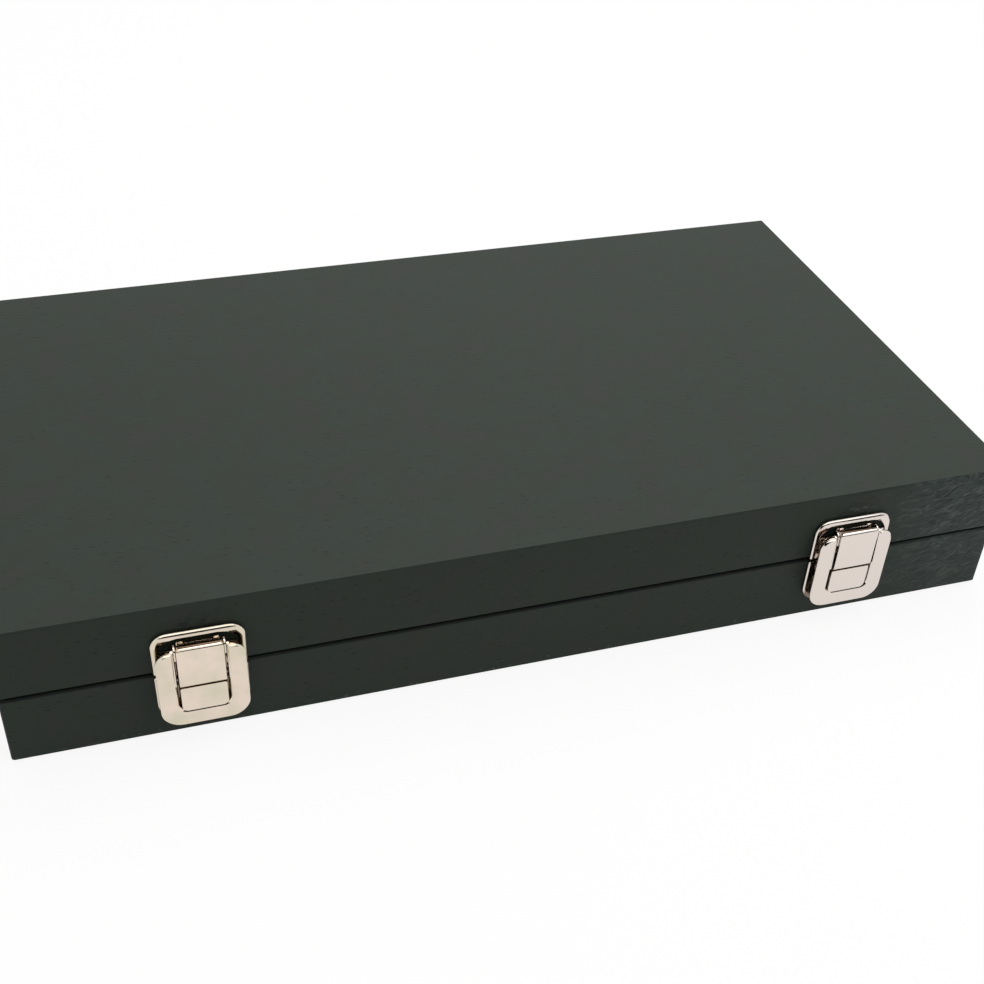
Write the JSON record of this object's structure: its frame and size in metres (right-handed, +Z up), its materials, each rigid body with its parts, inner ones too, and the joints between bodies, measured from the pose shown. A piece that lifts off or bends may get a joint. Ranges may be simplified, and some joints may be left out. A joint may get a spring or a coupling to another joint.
{
  "type": "watch display case",
  "caption": "Flat hinged case wrapped in black leatherette, with draw latches at the front and watch pillows in a lined, divided base.",
  "frame": {"origin": "middle of the underside", "axes": "+X to the right along the longest side as seen from the latches, +Y to the hinges at the back, +Z up through the lid"},
  "size_m": [0.375, 0.2268, 0.057],
  "materials": {
    "leatherette": "embossed black leatherette with a low sheen",
    "fibreboard": "raw fibreboard",
    "lining": "short black velvet",
    "pillow": "grey velvet over foam",
    "nickel": "bright warm nickel plate"
  },
  "bodies": {
    "base": {"base_bottom_sheet": "leatherette", "base_covering": "leatherette", "base_bottom_board": "fibreboard", "base_front_wall": "fibreboard", "base_rear_wall": "fibreboard", "base_left_wall": "fibreboard", "base_right_wall": "fibreboard", "base_lining": "lining", "divider_long": "lining", "divider_cross_1": "lining", "divider_cross_2": "lining", "divider_cross_3": "lining", "divider_cross_4": "lining", "divider_cross_5": "lining", "watch_pillow_front_1": "pillow", "watch_pillow_front_2": "pillow", "watch_pillow_front_3": "pillow", "watch_pillow_front_4": "pillow", "watch_pillow_front_5": "pillow", "watch_pillow_front_6": "pillow", "watch_pillow_rear_1": "pillow", "watch_pillow_rear_2": "pillow", "watch_pillow_rear_3": "pillow", "watch_pillow_rear_4": "pillow", "watch_pillow_rear_5": "pillow", "watch_pillow_rear_6": "pillow", "hinge_left_base_leaf": "nickel", "hinge_left_pin": "nickel", "hinge_left_base_screw_1": "nickel", "hinge_left_base_screw_2": "nickel", "latch_left_base_plate": "nickel", "latch_left_lever_pin": "nickel", "hinge_right_base_leaf": "nickel", "hinge_right_pin": "nickel", "hinge_right_base_screw_1": "nickel", "hinge_right_base_screw_2": "nickel", "latch_right_base_plate": "nickel", "latch_right_lever_pin": "nickel"},
    "lid": {"lid_covering": "leatherette", "lid_top_board": "fibreboard", "lid_front_wall": "fibreboard", "lid_rear_wall": "fibreboard", "lid_left_wall": "fibreboard", "lid_right_wall": "fibreboard", "lid_lining": "lining", "lid_pad": "lining", "hinge_left_lid_leaf": "nickel", "hinge_left_lid_screw_1": "nickel", "hinge_left_lid_screw_2": "nickel", "latch_left_strike": "nickel", "hinge_right_lid_leaf": "nickel", "hinge_right_lid_screw_1": "nickel", "hinge_right_lid_screw_2": "nickel", "latch_right_strike": "nickel"},
    "lever_left": {"latch_left_lever": "nickel", "latch_left_tongue_pin": "nickel"},
    "tongue_left": {"latch_left_tongue": "nickel"},
    "lever_right": {"latch_right_lever": "nickel", "latch_right_tongue_pin": "nickel"},
    "tongue_right": {"latch_right_tongue": "nickel"}
  },
  "joints": [
    {"name": "lid_hinge", "type": "hinge", "parent": "base", "child": "lid", "pos_m": [0, 0.1105, 0.0285], "axis": [-1, 0, 0], "range_deg": [0, 180]},
    {"name": "lever_left_pivot", "type": "hinge", "parent": "base", "child": "lever_left", "pos_m": [-0.122, -0.1122, 0.0405], "axis": [-1, 0, 0], "range_deg": [0, 100]},
    {"name": "tongue_left_pivot", "type": "hinge", "parent": "lever_left", "child": "tongue_left", "pos_m": [-0.122, -0.1127, 0.0273], "axis": [-1, 0, 0], "range_deg": [-105, 0]},
    {"name": "lever_right_pivot", "type": "hinge", "parent": "base", "child": "lever_right", "pos_m": [0.122, -0.1122, 0.0405], "axis": [-1, 0, 0], "range_deg": [0, 100]},
    {"name": "tongue_right_pivot", "type": "hinge", "parent": "lever_right", "child": "tongue_right", "pos_m": [0.122, -0.1127, 0.0273], "axis": [-1, 0, 0], "range_deg": [-105, 0]}
  ],
  "couplings": [
    {"joint": "tongue_left_pivot", "follows": "lever_left_pivot", "ratio": -1},
    {"joint": "tongue_right_pivot", "follows": "lever_right_pivot", "ratio": -1}
  ]
}
